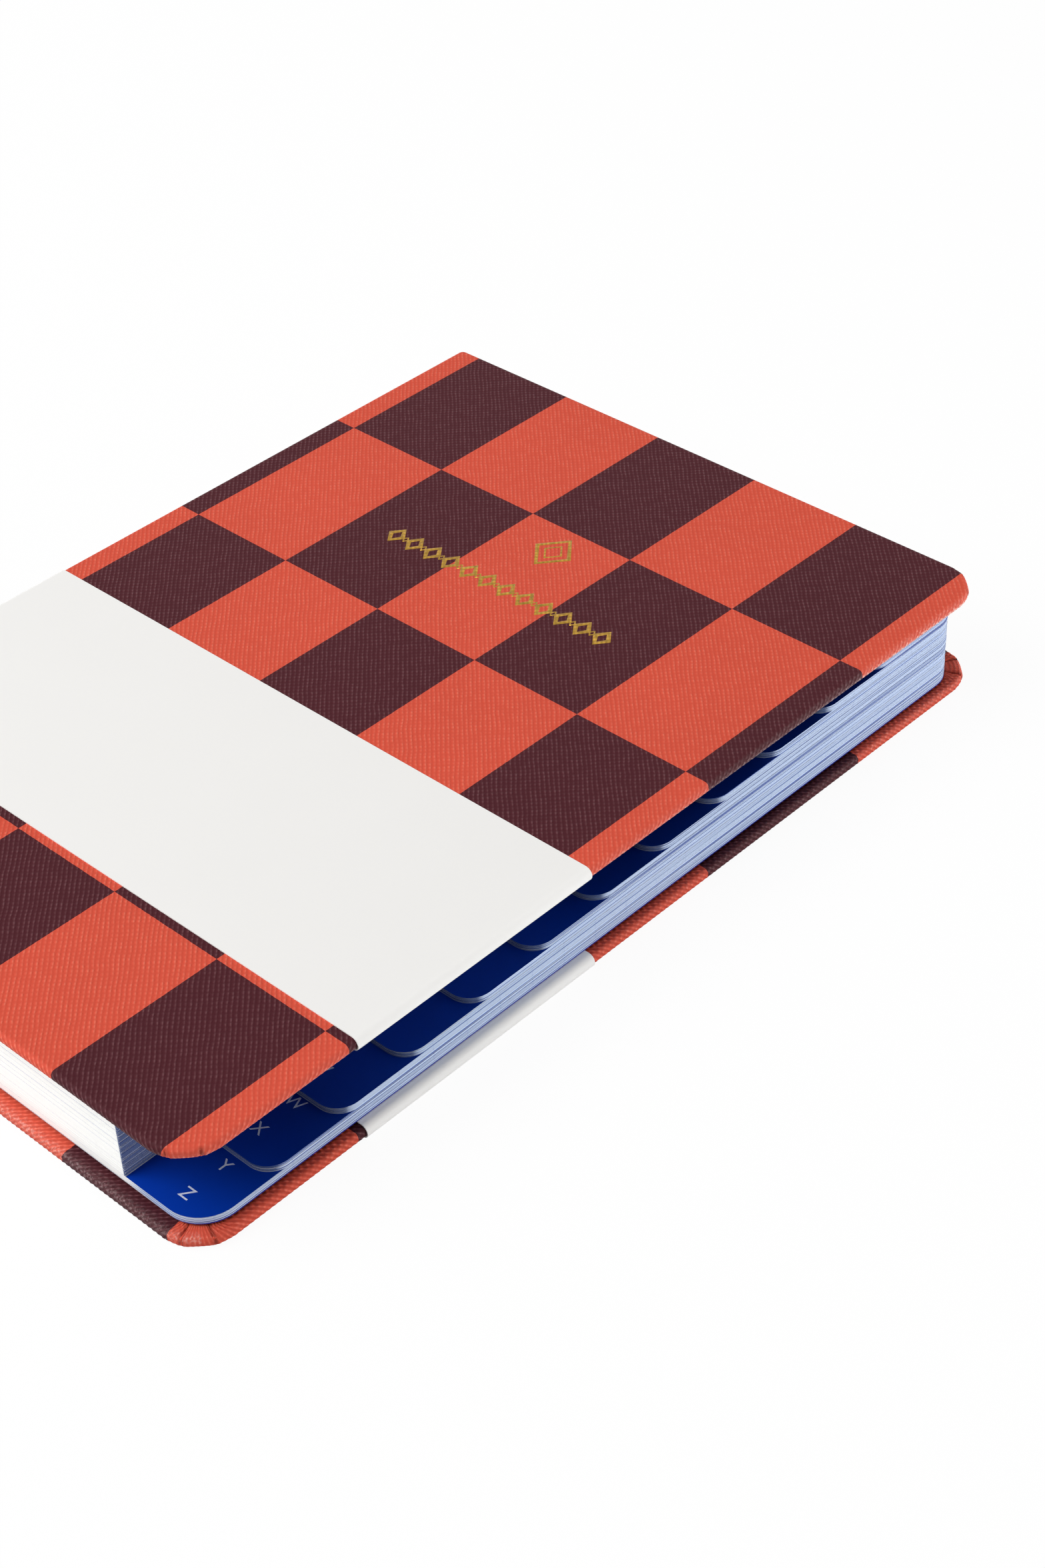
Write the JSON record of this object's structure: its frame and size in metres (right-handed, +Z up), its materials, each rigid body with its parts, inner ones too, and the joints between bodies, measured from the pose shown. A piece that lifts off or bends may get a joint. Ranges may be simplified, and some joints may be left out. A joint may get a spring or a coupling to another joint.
{
  "type": "address book",
  "caption": "Hard-covered address book in checked leatherette with step-cut letter tabs down the fore-edge and a paper band round its covers.",
  "frame": {"origin": "centre of the footprint at the height of the band's underside, which is what the closed book lies on", "axes": "+X from the spine to the fore-edge, +Y from tail to head, +Z up through the front cover"},
  "size_m": [0.1414, 0.205, 0.0225],
  "materials": {
    "greyboard": "matte",
    "liner_card": "matte",
    "check_leatherette": "satin",
    "endpaper": "matte",
    "index_paper": "matte",
    "lining_cloth": "matte",
    "band_paper": "matte"
  },
  "bodies": {
    "back_cover": {"back_board": "greyboard", "back_cover_leatherette": "check_leatherette", "back_pastedown": "endpaper"},
    "spine": {"spine_liner": "liner_card", "spine_leatherette": "check_leatherette"},
    "front_cover": {"front_board": "greyboard", "front_cover_leatherette": "check_leatherette", "front_pastedown": "endpaper"},
    "band_under": {"band_back": "band_paper"},
    "band_at_spine": {"band_spine": "band_paper"},
    "band_over": {"band_front": "band_paper"},
    "leaves_yz": {"index_yz": "index_paper", "back_flyleaf": "endpaper"},
    "leaves_wx": {"index_wx": "index_paper"},
    "leaves_uv": {"index_uv": "index_paper"},
    "leaves_st": {"index_st": "index_paper"},
    "leaves_qr": {"index_qr": "index_paper"},
    "leaves_op": {"index_op": "index_paper"},
    "leaves_mn": {"index_mn": "index_paper", "spine_lining": "lining_cloth"},
    "leaves_kl": {"index_kl": "index_paper"},
    "leaves_ij": {"index_ij": "index_paper"},
    "leaves_gh": {"index_gh": "index_paper"},
    "leaves_ef": {"index_ef": "index_paper"},
    "leaves_cd": {"index_cd": "index_paper"},
    "leaves_ab": {"index_ab": "index_paper", "front_flyleaf": "endpaper"}
  },
  "joints": [
    {"name": "index_fan", "type": "hinge", "parent": "back_cover", "child": "leaves_yz", "pos_m": [-0.07085, 0, 0.00287], "axis": [0, 1, 0], "range_deg": [-6, 0], "deforming": ["spine_liner", "spine_leatherette", "spine_lining", "band_spine"]},
    {"name": "index_wx_hinge", "type": "hinge", "parent": "leaves_yz", "child": "leaves_wx", "pos_m": [-0.07085, 0, 0.00432], "axis": [0, 1, 0], "range_deg": [-6, 0], "deforming": ["spine_liner", "spine_leatherette", "spine_lining", "band_spine"]},
    {"name": "index_uv_hinge", "type": "hinge", "parent": "leaves_wx", "child": "leaves_uv", "pos_m": [-0.07085, 0, 0.00558], "axis": [0, 1, 0], "range_deg": [-6, 0], "deforming": ["spine_liner", "spine_leatherette", "spine_lining", "band_spine"]},
    {"name": "index_st_hinge", "type": "hinge", "parent": "leaves_uv", "child": "leaves_st", "pos_m": [-0.07085, 0, 0.00684], "axis": [0, 1, 0], "range_deg": [-6, 0], "deforming": ["spine_liner", "spine_leatherette", "spine_lining", "band_spine"]},
    {"name": "index_qr_hinge", "type": "hinge", "parent": "leaves_st", "child": "leaves_qr", "pos_m": [-0.07085, 0, 0.0081], "axis": [0, 1, 0], "range_deg": [-6, 0], "deforming": ["spine_liner", "spine_leatherette", "spine_lining", "band_spine"]},
    {"name": "index_op_hinge", "type": "hinge", "parent": "leaves_qr", "child": "leaves_op", "pos_m": [-0.07085, 0, 0.00936], "axis": [0, 1, 0], "range_deg": [-6, 0], "deforming": ["spine_liner", "spine_leatherette", "spine_lining", "band_spine"]},
    {"name": "index_mn_hinge", "type": "hinge", "parent": "leaves_op", "child": "leaves_mn", "pos_m": [-0.07085, 0, 0.01062], "axis": [0, 1, 0], "range_deg": [-6, 0], "deforming": ["spine_liner", "spine_leatherette", "spine_lining", "band_spine"]},
    {"name": "index_kl_hinge", "type": "hinge", "parent": "leaves_mn", "child": "leaves_kl", "pos_m": [-0.07085, 0, 0.01188], "axis": [0, 1, 0], "range_deg": [-6, 0], "deforming": ["spine_liner", "spine_leatherette", "spine_lining", "band_spine"]},
    {"name": "index_ij_hinge", "type": "hinge", "parent": "leaves_kl", "child": "leaves_ij", "pos_m": [-0.07085, 0, 0.01314], "axis": [0, 1, 0], "range_deg": [-6, 0], "deforming": ["spine_liner", "spine_leatherette", "spine_lining", "band_spine"]},
    {"name": "index_gh_hinge", "type": "hinge", "parent": "leaves_ij", "child": "leaves_gh", "pos_m": [-0.07085, 0, 0.0144], "axis": [0, 1, 0], "range_deg": [-6, 0], "deforming": ["spine_liner", "spine_leatherette", "spine_lining", "band_spine"]},
    {"name": "index_ef_hinge", "type": "hinge", "parent": "leaves_gh", "child": "leaves_ef", "pos_m": [-0.07085, 0, 0.01566], "axis": [0, 1, 0], "range_deg": [-6, 0], "deforming": ["spine_liner", "spine_leatherette", "spine_lining", "band_spine"]},
    {"name": "index_cd_hinge", "type": "hinge", "parent": "leaves_ef", "child": "leaves_cd", "pos_m": [-0.07085, 0, 0.01692], "axis": [0, 1, 0], "range_deg": [-6, 0], "deforming": ["spine_liner", "spine_leatherette", "spine_lining", "band_spine"]},
    {"name": "index_ab_hinge", "type": "hinge", "parent": "leaves_cd", "child": "leaves_ab", "pos_m": [-0.07085, 0, 0.01818], "axis": [0, 1, 0], "range_deg": [-6, 0], "deforming": ["spine_liner", "spine_leatherette", "spine_lining", "band_spine"]},
    {"name": "spine_hinge", "type": "hinge", "parent": "back_cover", "child": "spine", "pos_m": [-0.07085, 0, 0.00262], "axis": [0, 1, 0], "range_deg": [-39, 0], "deforming": ["spine_liner", "spine_leatherette", "spine_lining", "band_spine"]},
    {"name": "front_cover_hinge", "type": "hinge", "parent": "leaves_ab", "child": "front_cover", "pos_m": [-0.07085, 0, 0.01963], "axis": [0, -1, 0], "range_deg": [0, 180], "deforming": ["spine_liner", "spine_leatherette", "spine_lining", "band_spine"]},
    {"name": "band_slide", "type": "slide", "parent": "back_cover", "child": "band_under", "axis": [0, -1, 0], "range_m": [0, 0.095]},
    {"name": "band_spine_slide", "type": "slide", "parent": "spine", "child": "band_at_spine", "axis": [0, -1, 0], "range_m": [0, 0.095]},
    {"name": "band_front_slide", "type": "slide", "parent": "front_cover", "child": "band_over", "axis": [0, -1, 0], "range_m": [0, 0.095]}
  ],
  "couplings": [
    {"joint": "index_wx_hinge", "follows": "index_fan", "ratio": 1},
    {"joint": "index_uv_hinge", "follows": "index_fan", "ratio": 1},
    {"joint": "index_st_hinge", "follows": "index_fan", "ratio": 1},
    {"joint": "index_qr_hinge", "follows": "index_fan", "ratio": 1},
    {"joint": "index_op_hinge", "follows": "index_fan", "ratio": 1},
    {"joint": "index_mn_hinge", "follows": "index_fan", "ratio": 1},
    {"joint": "index_kl_hinge", "follows": "index_fan", "ratio": 1},
    {"joint": "index_ij_hinge", "follows": "index_fan", "ratio": 1},
    {"joint": "index_gh_hinge", "follows": "index_fan", "ratio": 1},
    {"joint": "index_ef_hinge", "follows": "index_fan", "ratio": 1},
    {"joint": "index_cd_hinge", "follows": "index_fan", "ratio": 1},
    {"joint": "index_ab_hinge", "follows": "index_fan", "ratio": 1},
    {"joint": "spine_hinge", "follows": "index_fan", "ratio": 6.5},
    {"joint": "band_spine_slide", "follows": "band_slide", "ratio": 1},
    {"joint": "band_front_slide", "follows": "band_slide", "ratio": 1}
  ]
}
